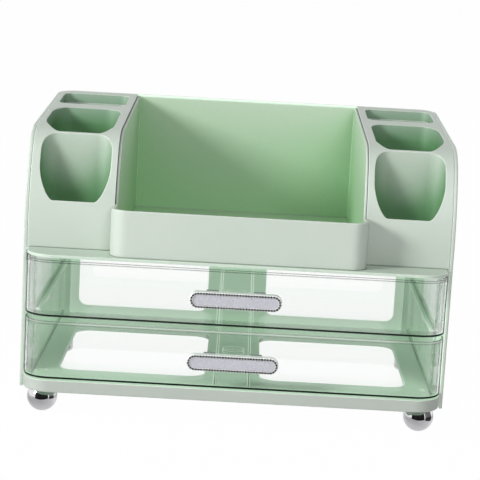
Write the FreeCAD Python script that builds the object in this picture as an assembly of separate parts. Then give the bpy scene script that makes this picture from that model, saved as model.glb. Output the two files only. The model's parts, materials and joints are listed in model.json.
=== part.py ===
import FreeCAD, Part
import math
import os

Vector = FreeCAD.Vector

# A countertop organizer: a moulded case with two clear drawers below,
# and a low-fronted bin between two brush holders above.
# Lengths are millimetres. X runs left to right, Y runs from the drawer
# fronts to the back, and Z runs up. Sizes along Y are measured from the
# plane of the drawer fronts, and save() then centres the whole along Y.

# Case
case_width = 350.0
case_depth = 245.0
case_height = 245.0
panel_thickness = 2.8
back_thickness = 3.0
panel_front_y = 30.0
panel_bottom_z = 20.0
panel_edge_round = 1.2
rear_corner_radius = 16.8
back_seam = 0.2

# Base
base_top_z = 34.0
base_plate_thickness = 4.4
base_bottom_z = 24.0
skirt_thickness = 3.0
front_step_in = 4.75
front_corner_radius = 21.5
base_opening_inner_x = 23.0
base_opening_side_margin = 30.0
base_opening_front_y = 38.0
base_opening_rear_margin = 55.0
base_opening_radius = 14.0
base_opening_round = 1.0
skirt_edge_round = 1.0

# Drawers
drawer_side_gap = 6.7
drawer_rear_gap = 4.0
drawer_rear_radius = 6.0
drawer_bottom_round = 1.0
drawer_rim_round = 0.4
drawer_wrap_round = 0.9
drawer_wall = 2.0
drawer_front_wall = 2.4
drawer_floor = 2.2
drawer_panel_gap = 0.5
drawer_height = 47.8
drawer_pitch = 51.3
drawer_deck_gap = 0.7
drawer_rib_x = 14.0
drawer_rib_width = 2.0
drawer_rib_height = 0.8
drawer_rib_front_y = 1.2
drawer_rib_clearance = 0.4
rim_step_height = 2.0
rim_step_width = 1.0
gate_ring_radius = 10.0
gate_ring_width = 1.0
gate_ring_height = 0.4

# Deck under the bin and the brush holders
deck_thickness = 2.4
deck_edge_round = 0.9
deck_flange_height = 9.0
deck_flange_thickness = 3.0

# Curve of the side panels, brush holders and bin sides, seen from the side,
# with its radii as shares of the height above the deck
top_slope_deg = 3.95
shoulder_share = 0.3253
brow_share = 1.264
brow_angle_deg = 27.5

# Windows of the back panel
window_inner_x = 27.3
window_side_margin = 25.0
window_base_gap = 7.2
window_deck_gap = 8.0
window_radius = 8.0

# Runners and guides
runner_clearance = 0.3
runner_shelf_reach = 12.2
runner_shelf_thickness = 1.9
runner_guide_height = 6.8
guide_side_clearance = 0.5
guide_height = 6.0

# Brush holders and their wells. Side margins are from the holder's inner
# and outer faces, and rear margins are from the back of the case.
pod_width = 69.7
pod_panel_gap = 0.4
pod_wall = 2.0
well_front_wall = 3.1
front_well_inner_margin = 5.3
front_well_outer_margin = 6.9
front_well_length = 25.3
front_well_corners = [(12.5, 8.3), (12.5, 8.3), (13.0, 13.0), (13.0, 13.0)]
middle_well_inner_margin = 6.9
middle_well_outer_margin = 4.4
middle_well_front_wall = 2.0
middle_well_rear_margin = 88.7
middle_well_corners = [(12.0, 19.0), (16.0, 42.0), (15.0, 24.0), (15.0, 16.0)]
rear_well_inner_margin = 6.3
rear_well_outer_margin = 4.2
rear_well_front_margin = 69.0
rear_well_rear_margin = 15.0
rear_well_radius = 8.0
rear_well_step = 1.4
rear_well_step_drop = 9.5
deep_well_floor = 3.6
rear_well_drop = 55.0
well_rim_round = 0.5

# Bin
bin_pod_gap = 0.4
bin_wall = 1.8
bin_floor = 2.2
bin_front_y = 3.3
bin_front_step_out = 1.8
bin_front_height = 38.1
bin_front_radius = 13.5
bin_front_clearance = 0.3
bin_rim_round = 0.6
bin_side_drop = 1.5
bin_corner_radius = 1.0
bin_peg_radius = 2.4
bin_peg_clearance = 0.15
bin_peg_side_margin = 13.7
bin_peg_front_y = 40.0
bin_peg_rear_margin = 25.0
bin_peg_short = 0.2

# Handles
handle_length = 74.0
handle_height = 13.2
handle_depth = 6.5
handle_above_floor = 22.4
handle_edge_round = 0.5
pad_thickness = 1.0
pad_inner_x = 14.0
pad_outer_x = 23.5
pad_overhang = 0.8
inlay_length = 67.8
inlay_height = 8.4
inlay_pocket_depth = 1.0
inlay_thickness = 0.7
inlay_clearance = 0.1
stone_radius = 1.0
stone_table_radius = 0.45
stone_girdle_height = 0.35
stone_crown_height = 0.55
stone_pitch = 2.25

# Feet
foot_radius = 12.5
foot_flat = 0.5
foot_side_margin = 19.0
foot_front_y = 32.0
foot_collar_radius = 6.0
foot_collar_height = 6.0
foot_boss_radius = 8.6
foot_boss_gap = 0.4
rear_foot_radius = 8.0
rear_foot_round = 3.0
rear_foot_side_margin = 14.5
rear_foot_rear_margin = 18.5

# Fasteners
screw_clearance = 0.15
foot_screw_radius = 1.5
foot_screw_head_radius = 3.6
foot_screw_head_height = 2.2
foot_screw_recess = 2.6
foot_screw_depth = 10.0
flat_screw_radius = 1.4
flat_screw_head_radius = 2.6
flat_screw_head_height = 1.4
runner_screw_length = 7.6
pod_screw_length = 9.0
pod_screw_wall_gap = 3.0
pod_boss_radius = 3.6
pod_boss_height = 11.0
back_screw_length = 8.0
back_boss_radius = 3.4
back_boss_length = 8.0
back_screw_inner_x = 60.0
back_screw_spacing = 34.0
back_screw_drop = 40.0
hook_front_y = 70.0
runner_screw_front_y = 50.0
runner_screw_rear_margin = 40.0
drive_slot_width = 0.6
drive_slot_depth = 0.8
tongue_length = 14.0
tongue_height = 2.4
tongue_reach = 2.9
tongue_clearance = 0.15

# Places worked out from the sizes above
panel_outer_x = case_width / 2
panel_inner_x = panel_outer_x - panel_thickness
front_half_width = panel_outer_x - front_step_in
back_inner_y = case_depth - back_thickness
inner_corner_radius = rear_corner_radius - back_thickness
back_half_width = panel_outer_x - rear_corner_radius
base_plate_bottom_z = base_top_z - base_plate_thickness
base_opening_outer_x = panel_outer_x - base_opening_side_margin
base_opening_rear_y = case_depth - base_opening_rear_margin
drawer_side_x = panel_inner_x - drawer_side_gap
drawer_rear_y = back_inner_y - drawer_rear_gap
drawer_wrap_y = panel_front_y - drawer_panel_gap
lower_floor_z = base_top_z + drawer_rib_clearance + drawer_rib_height
upper_floor_z = lower_floor_z + drawer_pitch
deck_bottom_z = upper_floor_z + drawer_height + drawer_deck_gap
deck_top_z = deck_bottom_z + deck_thickness
shoulder_radius = shoulder_share * (case_height - deck_top_z)
brow_radius = brow_share * (case_height - deck_top_z)
window_outer_x = panel_outer_x - window_side_margin
window_bottom_z = base_top_z + window_base_gap
window_top_z = deck_bottom_z - window_deck_gap
pod_outer_x = panel_inner_x - pod_panel_gap
pod_inner_x = pod_outer_x - pod_width
pod_rear_y = back_inner_y - back_seam
front_well_front_y = panel_front_y + well_front_wall
front_well_rear_y = front_well_front_y + front_well_length
middle_well_front_y = front_well_rear_y + middle_well_front_wall
middle_well_rear_y = case_depth - middle_well_rear_margin
rear_well_front_y = case_depth - rear_well_front_margin
rear_well_rear_y = case_depth - rear_well_rear_margin
rear_well_inner_x = pod_inner_x + rear_well_inner_margin
rear_well_outer_x = pod_outer_x - rear_well_outer_margin
rear_well_step_z = case_height - rear_well_step_drop
rear_well_floor_z = case_height - rear_well_drop
deep_well_floor_z = deck_top_z + deep_well_floor
bin_half_width = pod_inner_x - bin_pod_gap
bin_front_half_width = bin_half_width + bin_front_step_out
bin_front_top_z = deck_top_z + bin_front_height
bin_peg_x = bin_half_width - bin_peg_side_margin
bin_peg_rear_y = case_depth - bin_peg_rear_margin
foot_x = panel_outer_x - foot_side_margin
rear_foot_x = panel_outer_x - rear_foot_side_margin
rear_foot_y = case_depth - rear_foot_rear_margin
foot_top_z = base_bottom_z + foot_boss_gap
guide_inner_x = drawer_side_x + guide_side_clearance
guide_front_y = panel_front_y + guide_side_clearance
guide_rear_y = drawer_rear_y - inner_corner_radius
runner_top_z = upper_floor_z - runner_clearance
stone_reach = stone_girdle_height + stone_crown_height
handle_reach = pad_thickness + handle_depth + stone_reach
origin_shift = Vector(0, handle_reach - (case_depth + handle_reach) / 2, 0)
above_case = 2 * case_height
cut_overrun = 1.0
same_place = 1e-4


def save(name, shape):
    """Writes one piece, moved so that the origin is the bottom centre."""
    placed = shape.copy()
    placed.translate(origin_shift)
    placed.exportStep("parts/" + name + ".step")


def block(x0, x1, y0, y1, z0, z1):
    """A plain box between two corners."""
    return Part.makeBox(x1 - x0, y1 - y0, z1 - z0, Vector(x0, y0, z0))


def soft_block(x0, x1, y0, y1, z0, z1, corners):
    """An upright box whose four corners, from front left round to rear left, have their own X and Y radii."""
    whereabouts = ((x0, y0, 180), (x1, y0, 270), (x1, y1, 0), (x0, y1, 90))
    edges = []
    ends = []
    for (x, y, start_deg), (across, along) in zip(whereabouts, corners):
        cx = x + across if x == x0 else x - across
        cy = y + along if y == y0 else y - along
        points = []
        for step_deg in (0, 45, 90):
            angle = math.radians(start_deg + step_deg)
            points.append(Vector(math.cos(angle), math.sin(angle), 0))
        places = [Vector(cx + across * p.x, cy + along * p.y, z0) for p in points]
        if across > 0 and across == along:
            edges.append(Part.Arc(places[0], places[1], places[2]).toShape())
        elif across > 0:
            grow = FreeCAD.Matrix()
            grow.scale(across, along, 1)
            grow.move(cx, cy, z0)
            edges.append(Part.Arc(points[0], points[1], points[2]).toShape().transformGeometry(grow))
        ends.append((places[0], places[2]))
    for number, (start, end) in enumerate(ends):
        previous_end = ends[number - 1][1]
        if previous_end.distanceToPoint(start) > same_place:
            edges.append(Part.makeLine(previous_end, start))
    face = Part.Face(Part.Wire(Part.__sortEdges__(edges)))
    return face.extrude(Vector(0, 0, z1 - z0))


def rounded_block(x0, x1, y0, y1, z0, z1, front_radius, rear_radius):
    """An upright box with rounded vertical edges, front and rear apart."""
    corners = [(front_radius, front_radius)] * 2 + [(rear_radius, rear_radius)] * 2
    return soft_block(x0, x1, y0, y1, z0, z1, corners)


def mirrored(shape):
    """The same piece on the other side of the centre plane."""
    return shape.mirror(Vector(0, 0, 0), Vector(1, 0, 0))


def joined(shapes):
    """One solid from pieces that meet."""
    whole = shapes[0].fuse(shapes[1:])
    return whole.removeSplitter()


def touches(shell, point):
    """True where a point lies on a surface."""
    return shell.distToShape(Part.Vertex(point))[0] < same_place


def round_where_met(shape, radius, first_shell, second_shell):
    """Rounds the edges of a shape that lie on two surfaces at once."""
    edges = []
    for edge in shape.Edges:
        low, high = edge.ParameterRange
        points = [edge.valueAt(low + (high - low) * share) for share in (0.2, 0.5, 0.8)]
        if all(touches(first_shell, p) and touches(second_shell, p) for p in points):
            edges.append(edge)
    return shape.makeFillet(radius, edges)


def side_curve(inset):
    """Corners and arc middles of the case seen from the side, set in by a wall."""
    slope = math.radians(top_slope_deg)
    brow = math.radians(brow_angle_deg)
    brow_y = panel_front_y + brow_radius
    shoulder_y = brow_y - (brow_radius - shoulder_radius) * math.cos(brow)
    crest_y = shoulder_y - shoulder_radius * math.sin(slope)
    crest_z = case_height - math.tan(slope) * (case_depth - crest_y)
    shoulder_z = crest_z - shoulder_radius * math.cos(slope)
    brow_z = shoulder_z - (brow_radius - shoulder_radius) * math.sin(brow)

    def on_arc(cy, cz, radius, angle):
        return Vector(0, cy - (radius - inset) * math.cos(angle), cz + (radius - inset) * math.sin(angle))

    crest_angle = math.pi / 2 - slope
    foot_of_brow = on_arc(brow_y, brow_z, brow_radius, 0)
    middle_of_brow = on_arc(brow_y, brow_z, brow_radius, brow / 2)
    top_of_brow = on_arc(brow_y, brow_z, brow_radius, brow)
    middle_of_shoulder = on_arc(shoulder_y, shoulder_z, shoulder_radius, (brow + crest_angle) / 2)
    crest = on_arc(shoulder_y, shoulder_z, shoulder_radius, crest_angle)
    rear = Vector(0, case_depth, crest.z + math.tan(slope) * (case_depth - crest.y))
    return foot_of_brow, middle_of_brow, top_of_brow, middle_of_shoulder, crest, rear


def side_prism(x0, x1, bottom_z, inset):
    """The space under the side curve, between two planes across X."""
    foot_of_brow, middle_of_brow, top_of_brow, middle_of_shoulder, crest, rear = side_curve(inset)
    front_bottom = Vector(0, foot_of_brow.y, bottom_z)
    rear_bottom = Vector(0, case_depth, bottom_z)
    edges = [
        Part.makeLine(front_bottom, foot_of_brow),
        Part.Arc(foot_of_brow, middle_of_brow, top_of_brow).toShape(),
        Part.Arc(top_of_brow, middle_of_shoulder, crest).toShape(),
        Part.makeLine(crest, rear),
        Part.makeLine(rear, rear_bottom),
        Part.makeLine(rear_bottom, front_bottom),
    ]
    face = Part.Face(Part.Wire(edges))
    prism = face.extrude(Vector(x1 - x0, 0, 0))
    prism.translate(Vector(x0, 0, 0))
    return prism


def case_layer(z0, z1, inset):
    """A flat layer of the case: the rounded front and the wider rear between the panels."""
    front = rounded_block(
        inset - front_half_width, front_half_width - inset,
        inset, 2 * panel_front_y, z0, z1, front_corner_radius - inset, 0)
    rear = rounded_block(
        inset - panel_inner_x, panel_inner_x - inset,
        panel_front_y + inset, back_inner_y - inset, z0, z1, 0, inner_corner_radius - inset)
    return front.fuse(rear).removeSplitter()


def drive_slots(length, depth, z0):
    """The cross of slots that a driver fits, on the Z axis."""
    half_length = length / 2
    half_width = drive_slot_width / 2
    return [
        block(-half_length, half_length, -half_width, half_width, z0, z0 + depth),
        block(-half_width, half_width, -half_length, half_length, z0, z0 + depth),
    ]


def flat_screw(length):
    """A countersunk screw along +Z, with its head's face at the origin plane."""
    head = Part.makeCone(flat_screw_head_radius, flat_screw_radius, flat_screw_head_height)
    shank = Part.makeCylinder(flat_screw_radius, length)
    return joined([head, shank]).cut(drive_slots(flat_screw_head_radius, drive_slot_depth, 0))


def flat_screw_hole(length):
    """The room that a countersunk screw needs along +Z."""
    head = Part.makeCone(
        flat_screw_head_radius + screw_clearance, flat_screw_radius + screw_clearance,
        flat_screw_head_height)
    shank = Part.makeCylinder(flat_screw_radius + screw_clearance, length)
    return joined([head, shank])


def turned(shape, direction, place):
    """A shape made along +Z, turned to a direction and set at a place."""
    result = shape.copy()
    turn = FreeCAD.Rotation(Vector(0, 0, 1), direction)
    result.Placement = FreeCAD.Placement(place, turn)
    return result


def tongue_places():
    """Where the side panels hook into the base and the deck, as (y, z)."""
    base_z = (base_bottom_z + base_plate_bottom_z) / 2
    deck_z = deck_bottom_z - deck_flange_height / 2
    spots = []
    rear_y = guide_rear_y - tongue_length
    middle_y = (hook_front_y + rear_y) / 2
    for y in (hook_front_y, middle_y, rear_y):
        spots.append((y, base_z))
        spots.append((y, deck_z))
    return spots


def tongue(y, z, reach, play):
    """One hook of the left panel, or the slot it goes into."""
    half_length = tongue_length / 2 + play
    half_height = tongue_height / 2 + play
    return block(-panel_inner_x, reach - panel_inner_x, y - half_length, y + half_length,
                 z - half_height, z + half_height)


def base_plate():
    """The floor of the case, with its skirt, its two openings and the lower guides."""
    outer = case_layer(base_bottom_z, base_top_z, 0)
    bottom_edges = []
    for edge in outer.Edges:
        box = edge.BoundBox
        if box.ZMax < base_bottom_z + same_place and box.YMax < panel_front_y + same_place:
            bottom_edges.append(edge)
    outer = outer.makeFillet(skirt_edge_round, bottom_edges)
    under = case_layer(base_bottom_z - cut_overrun, base_plate_bottom_z, skirt_thickness)
    body = outer.cut(under)
    opening = rounded_block(
        base_opening_inner_x, base_opening_outer_x, base_opening_front_y, base_opening_rear_y,
        base_bottom_z, above_case, base_opening_radius, base_opening_radius)
    body = body.cut([opening, mirrored(opening)])
    top_plane = block(-case_width, case_width, 0, case_depth, base_top_z, above_case)
    for hole in (opening, mirrored(opening)):
        body = round_where_met(body, base_opening_round, top_plane.Shells[0], hole.Shells[0])
    guide = block(
        guide_inner_x, panel_inner_x, guide_front_y, guide_rear_y,
        base_top_z, base_top_z + guide_height)
    parts = [body, guide, mirrored(guide)]
    cuts = []
    for x, y in foot_places():
        parts.append(Part.makeCylinder(
            foot_boss_radius, base_plate_bottom_z - foot_top_z, Vector(x, y, foot_top_z)))
        cuts.append(Part.makeCylinder(
            foot_screw_radius + screw_clearance, base_top_z, Vector(x, y, 0)))
        cuts.append(Part.makeCylinder(
            foot_screw_head_radius + screw_clearance, foot_screw_recess,
            Vector(x, y, base_top_z - foot_screw_recess)))
    for x in base_back_screw_x():
        parts.append(block(
            x - back_boss_radius, x + back_boss_radius, back_inner_y - back_boss_length, back_inner_y,
            base_bottom_z, base_plate_bottom_z))
    for x, z in back_screw_places():
        cuts.append(turned(flat_screw_hole(back_screw_length), Vector(0, -1, 0), Vector(x, case_depth, z)))
    for y, z in tongue_places():
        slot = tongue(y, z, tongue_reach + skirt_thickness, tongue_clearance)
        if z < base_top_z:
            cuts.extend([slot, mirrored(slot)])
    return joined(parts).cut(cuts)


def foot_places():
    """Centres of the four feet, left to right and front to back."""
    return [(-foot_x, foot_front_y), (foot_x, foot_front_y),
            (-rear_foot_x, rear_foot_y), (rear_foot_x, rear_foot_y)]


def base_back_screw_x():
    """Where the back is screwed to the base."""
    outer_x = back_half_width - back_boss_radius - flat_screw_head_radius
    return [-outer_x, -back_screw_inner_x, back_screw_inner_x, outer_x]


def back_screw_places():
    """All the screws of the back, as (x, z): the base row and the brush holder row."""
    base_row = [(x, (base_bottom_z + base_plate_bottom_z) / 2) for x in base_back_screw_x()]
    outer_x = back_half_width - back_boss_radius - flat_screw_head_radius
    inner_x = outer_x - back_screw_spacing
    pod_z = case_height - back_screw_drop
    return base_row + [(x, pod_z) for x in (-outer_x, -inner_x, inner_x, outer_x)]


def deck():
    """The shelf over the drawers, with a flange down each side."""
    plate = case_layer(deck_bottom_z, deck_top_z, 0)
    front_edges = []
    for edge in plate.Edges:
        box = edge.BoundBox
        if box.ZMin > deck_top_z - same_place and box.YMax < panel_front_y + same_place:
            front_edges.append(edge)
    plate = plate.makeFillet(deck_edge_round, front_edges)
    flange = block(
        panel_inner_x - deck_flange_thickness, panel_inner_x, guide_front_y, guide_rear_y,
        deck_bottom_z - deck_flange_height, deck_bottom_z)
    body = joined([plate, flange, mirrored(flange)])
    cuts = []
    for x, y in pod_screw_places():
        cuts.append(turned(flat_screw_hole(pod_screw_length), Vector(0, 0, 1), Vector(x, y, deck_bottom_z)))
    for x, y in bin_peg_places():
        cuts.append(Part.makeCylinder(
            bin_peg_radius + bin_peg_clearance, 2 * deck_thickness, Vector(x, y, deck_bottom_z - cut_overrun)))
    for y, z in tongue_places():
        slot = tongue(y, z, tongue_reach + deck_flange_thickness, tongue_clearance)
        if z > base_top_z:
            cuts.extend([slot, mirrored(slot)])
    return body.cut(cuts)


def pod_screw_places():
    """Screws up through the deck into the brush holders, as (x, y)."""
    middle_x = (rear_well_inner_x + rear_well_outer_x) / 2
    between_wells_y = (middle_well_rear_y + rear_well_front_y) / 2
    behind_wells_y = pod_rear_y - pod_wall - pod_boss_radius - pod_screw_wall_gap
    return [(x, y) for y in (between_wells_y, behind_wells_y) for x in (-middle_x, middle_x)]


def bin_peg_places():
    """Pegs that locate the bin on the deck, as (x, y)."""
    return [(x, y) for y in (bin_peg_front_y, bin_peg_rear_y) for x in (-bin_peg_x, bin_peg_x)]


def side_panel():
    """The right side panel, which turns the rear corner and follows the side curve."""
    outer = rounded_block(
        -panel_outer_x, panel_outer_x, panel_front_y, case_depth, panel_bottom_z, above_case,
        0, rear_corner_radius)
    inner = rounded_block(
        -panel_inner_x, panel_inner_x, 0, back_inner_y, 0, above_case + cut_overrun, 0, inner_corner_radius)
    sheet = outer.cut(inner)
    under_curve = side_prism(0, case_width, panel_bottom_z, 0)
    keep = block(back_half_width + back_seam, case_width, 0, case_width, 0, above_case)
    sheet = sheet.common(under_curve).common(keep)
    curve_shell = side_prism(-case_width, case_width, 0, 0).Shells[0]
    outside_shell = rounded_block(
        -panel_outer_x, panel_outer_x, 0, case_depth, 0, above_case, 0, rear_corner_radius).Shells[0]
    sheet = round_where_met(sheet, panel_edge_round, curve_shell, outside_shell)
    hooks = [mirrored(tongue(y, z, tongue_reach, 0)) for y, z in tongue_places()]
    sheet = joined([sheet] + hooks)
    holes = [mirrored(hole) for hole in runner_screw_shapes(flat_screw_hole(runner_screw_length))]
    return sheet.cut(holes)


def back_panel():
    """The back of the case, with a window each side of its middle column."""
    sheet = block(-back_half_width, back_half_width, back_inner_y, case_depth, base_bottom_z, above_case)
    sheet = sheet.common(side_prism(-case_width, case_width, 0, 0))
    top_edges = [edge for edge in sheet.Edges if edge.BoundBox.ZMin > case_height - same_place]
    sheet = sheet.makeFillet(panel_edge_round, top_edges)
    window = rounded_block(
        window_inner_x, window_outer_x, -window_top_z, -window_bottom_z, 0, 2 * back_thickness,
        window_radius, window_radius)
    window.rotate(Vector(0, 0, 0), Vector(1, 0, 0), -90)
    window.translate(Vector(0, back_inner_y - back_thickness, 0))
    cuts = [window, mirrored(window)]
    for x, z in back_screw_places():
        cuts.append(turned(flat_screw_hole(back_screw_length), Vector(0, -1, 0), Vector(x, case_depth, z)))
    return sheet.cut(cuts)


def brush_holder():
    """The right brush holder: a curved shell around three upright wells."""
    outline = rounded_block(
        0, pod_outer_x, 0, pod_rear_y, deck_top_z, above_case, 0, inner_corner_radius - pod_panel_gap)
    shell = side_prism(pod_inner_x, pod_outer_x, deck_top_z, 0).common(outline)
    inner_outline = rounded_block(
        0, pod_outer_x - pod_wall, 0, pod_rear_y - pod_wall, 0, above_case, 0,
        inner_corner_radius - pod_panel_gap - pod_wall)
    hollow = side_prism(pod_inner_x + pod_wall, pod_outer_x - pod_wall, 0, pod_wall).common(inner_outline)
    curve_shell = side_prism(-case_width, case_width, 0, 0).Shells[0]
    lower_radius = rear_well_radius - rear_well_step
    wells = [
        (pod_inner_x + front_well_inner_margin, pod_outer_x - front_well_outer_margin,
         front_well_front_y, front_well_rear_y, deep_well_floor_z, front_well_corners),
        (pod_inner_x + middle_well_inner_margin, pod_outer_x - middle_well_outer_margin,
         middle_well_front_y, middle_well_rear_y, deep_well_floor_z, middle_well_corners),
        (rear_well_inner_x + rear_well_step, rear_well_outer_x - rear_well_step,
         rear_well_front_y + rear_well_step, rear_well_rear_y - rear_well_step,
         rear_well_floor_z, [(lower_radius, lower_radius)] * 4),
    ]
    tubes = []
    bores = []
    for inner_x, outer_x, front_y, rear_y, floor_z, corners in wells:
        bores.append(soft_block(inner_x, outer_x, front_y, rear_y, floor_z, above_case, corners))
        wide_corners = [(across + pod_wall, along + pod_wall) for across, along in corners]
        tubes.append(soft_block(
            inner_x - pod_wall, outer_x + pod_wall, front_y - pod_wall, rear_y + pod_wall,
            floor_z - pod_wall, above_case, wide_corners))
    step = rounded_block(
        rear_well_inner_x, rear_well_outer_x, rear_well_front_y, rear_well_rear_y,
        rear_well_step_z, above_case, rear_well_radius, rear_well_radius)
    body = shell.cut(bores + [step])
    for bore in bores[:2] + [step]:
        body = round_where_met(body, well_rim_round, curve_shell, bore.Shells[0])
    body = body.cut(hollow.cut(tubes))
    bosses = []
    holes = []
    for x, y in pod_screw_places():
        if x > 0:
            bosses.append(Part.makeCylinder(pod_boss_radius, pod_boss_height, Vector(x, y, deck_top_z)))
            wall_y = middle_well_rear_y if y < rear_well_front_y else pod_rear_y - pod_wall
            low_y = min(y, wall_y + pod_wall / 2)
            high_y = max(y, wall_y + pod_wall / 2)
            bosses.append(block(
                x - pod_wall / 2, x + pod_wall / 2, low_y, high_y, deck_top_z, deck_top_z + pod_boss_height))
            holes.append(turned(flat_screw_hole(pod_screw_length), Vector(0, 0, 1), Vector(x, y, deck_bottom_z)))
    for x, z in back_screw_places():
        if x > 0 and z > deck_top_z:
            bosses.append(turned(
                Part.makeCylinder(back_boss_radius, back_boss_length), Vector(0, -1, 0),
                Vector(x, pod_rear_y - pod_wall / 2, z)))
            holes.append(turned(flat_screw_hole(back_screw_length), Vector(0, -1, 0), Vector(x, case_depth, z)))
    return joined([body] + bosses).cut(holes)


def centre_bin():
    """The bin: low in front, with sides and back that follow the side curve."""
    front_rear_y = panel_front_y - bin_front_clearance
    front = rounded_block(
        -bin_front_half_width, bin_front_half_width, bin_front_y, front_rear_y, deck_top_z, bin_front_top_z,
        bin_front_radius, 0)
    bridge = block(
        -bin_half_width, bin_half_width, front_rear_y - bin_wall, 2 * panel_front_y, deck_top_z, bin_front_top_z)
    rear = block(-bin_half_width, bin_half_width, panel_front_y, pod_rear_y, deck_top_z, above_case)
    under_curve = side_prism(-case_width, case_width, deck_top_z, bin_side_drop)
    rear = rear.common(under_curve)
    bridge = bridge.common(under_curve.fuse(
        block(-case_width, case_width, 0, panel_front_y + bin_side_drop, deck_top_z, above_case)))
    inner = rounded_block(
        bin_wall - bin_half_width, bin_half_width - bin_wall, bin_front_y + bin_wall, pod_rear_y - bin_wall,
        deck_top_z + bin_floor, above_case, bin_front_radius - bin_wall, bin_corner_radius)
    body = joined([front, bridge, rear]).cut(inner)
    low_top = block(
        -case_width, case_width, 0, panel_front_y, bin_front_top_z, above_case).Shells[0]
    for wall_shell in (inner.Shells[0], front.Shells[0]):
        body = round_where_met(body, bin_rim_round, low_top, wall_shell)
    pegs = []
    for x, y in bin_peg_places():
        pegs.append(Part.makeCylinder(
            bin_peg_radius, deck_thickness - bin_peg_short, Vector(x, y, deck_bottom_z + bin_peg_short)))
    return joined([body] + pegs)


def runner_screw_shapes(screw):
    """Screws through the left runner into its side panel."""
    z = runner_top_z + runner_guide_height / 2
    rear_y = case_depth - runner_screw_rear_margin
    middle_y = (runner_screw_front_y + rear_y) / 2
    return [turned(screw, Vector(-1, 0, 0), Vector(-guide_inner_x, y, z))
            for y in (runner_screw_front_y, middle_y, rear_y)]


def runner():
    """The right runner of the upper drawer: a shelf under it and a guide beside it."""
    shelf = block(
        panel_inner_x - runner_shelf_reach, panel_inner_x, guide_front_y, guide_rear_y,
        runner_top_z - runner_shelf_thickness, runner_top_z)
    guide = block(
        guide_inner_x, panel_inner_x, guide_front_y, guide_rear_y,
        runner_top_z, runner_top_z + runner_guide_height)
    holes = [mirrored(hole) for hole in runner_screw_shapes(flat_screw_hole(runner_screw_length))]
    return joined([shelf, guide]).cut(holes)


def drawer_outline(inset, front_inset, z0, z1):
    """The drawer seen from above, set in by its walls."""
    front = rounded_block(
        inset - front_half_width, front_half_width - inset, front_inset, drawer_wrap_y - inset, z0, z1,
        front_corner_radius - front_inset, 0)
    rear = rounded_block(
        inset - drawer_side_x, drawer_side_x - inset, front_corner_radius, drawer_rear_y - inset, z0, z1,
        0, drawer_rear_radius - inset)
    whole = front.fuse(rear).removeSplitter()
    inner_corners = []
    for edge in whole.Edges:
        box = edge.BoundBox
        at_side = abs(abs(box.Center.x) - (drawer_side_x - inset)) < same_place
        at_wrap = abs(box.Center.y - (drawer_wrap_y - inset)) < same_place
        if at_side and at_wrap:
            inner_corners.append(edge)
    return whole.makeFillet(drawer_wrap_round, inner_corners)


def drawer(floor_z):
    """A clear drawer whose front wraps past its sides."""
    top_z = floor_z + drawer_height
    outer = drawer_outline(0, 0, floor_z, top_z)
    bottom_edges = [edge for edge in outer.Edges if edge.BoundBox.ZMax < floor_z + same_place]
    outer = outer.makeFillet(drawer_bottom_round, bottom_edges)
    top_edges = [edge for edge in outer.Edges if edge.BoundBox.ZMin > top_z - same_place]
    outer = outer.makeFillet(drawer_rim_round, top_edges)
    hollow = drawer_outline(drawer_wall, drawer_front_wall, floor_z + drawer_floor, top_z)
    rebate = drawer_outline(
        drawer_wall - rim_step_width, drawer_front_wall - rim_step_width, top_z - rim_step_height, top_z)
    body = outer.cut([hollow, rebate])
    extras = []
    for x in (-drawer_rib_x, drawer_rib_x):
        extras.append(block(
            x - drawer_rib_width / 2, x + drawer_rib_width / 2,
            drawer_rib_front_y, drawer_rear_y + drawer_rib_height,
            floor_z - drawer_rib_height, floor_z + drawer_floor))
        extras.append(block(
            x - drawer_rib_width / 2, x + drawer_rib_width / 2,
            drawer_rear_y - drawer_wall, drawer_rear_y + drawer_rib_height,
            floor_z, top_z - rim_step_height))
    ring_y = drawer_rear_y / 2
    ring_z = floor_z + drawer_floor
    ring = Part.makeCylinder(gate_ring_radius, gate_ring_height, Vector(0, ring_y, ring_z))
    ring = ring.cut(Part.makeCylinder(
        gate_ring_radius - gate_ring_width, gate_ring_height, Vector(0, ring_y, ring_z)))
    return joined([body, ring] + extras)


def stadium(length, height, thickness, front_y, centre_z):
    """A plate with round ends, standing across Y behind a front plane."""
    radius = height / 2
    straight = length / 2 - radius
    shapes = [block(-straight, straight, front_y, front_y + thickness, centre_z - radius, centre_z + radius)]
    for x in (-straight, straight):
        shapes.append(Part.makeCylinder(
            radius, thickness, Vector(x, front_y, centre_z), Vector(0, 1, 0)))
    return joined(shapes)


def handle_front_y():
    """The plane of the front of the handles."""
    return -pad_thickness - handle_depth


def handle_body(centre_z):
    """The bar of a handle, with a shallow pocket in front for its inlay."""
    front_y = handle_front_y()
    body = stadium(handle_length, handle_height, handle_depth, front_y, centre_z)
    front_edges = [edge for edge in body.Edges if edge.BoundBox.YMax < front_y + same_place]
    body = body.makeFillet(handle_edge_round, front_edges)
    pocket = stadium(inlay_length, inlay_height, inlay_pocket_depth, front_y, centre_z)
    return body.cut(pocket)


def handle_pads(centre_z):
    """The two pads between a handle and its drawer."""
    half_height = handle_height / 2 + pad_overhang
    pads = []
    for x0, x1 in ((-pad_outer_x, -pad_inner_x), (pad_inner_x, pad_outer_x)):
        pads.append(block(x0, x1, -pad_thickness, 0, centre_z - half_height, centre_z + half_height))
    return Part.makeCompound(pads)


def handle_inlay(centre_z):
    """The plate in the pocket of a handle."""
    front_y = handle_front_y() + inlay_pocket_depth - inlay_thickness
    return stadium(
        inlay_length - 2 * inlay_clearance, inlay_height - 2 * inlay_clearance, inlay_thickness,
        front_y, centre_z)


def stone():
    """One cut stone along +Z, standing on its flat back."""
    girdle = Part.makeCylinder(stone_radius, stone_girdle_height)
    crown = Part.makeCone(
        stone_radius, stone_table_radius, stone_crown_height, Vector(0, 0, stone_girdle_height))
    return joined([girdle, crown])


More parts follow.
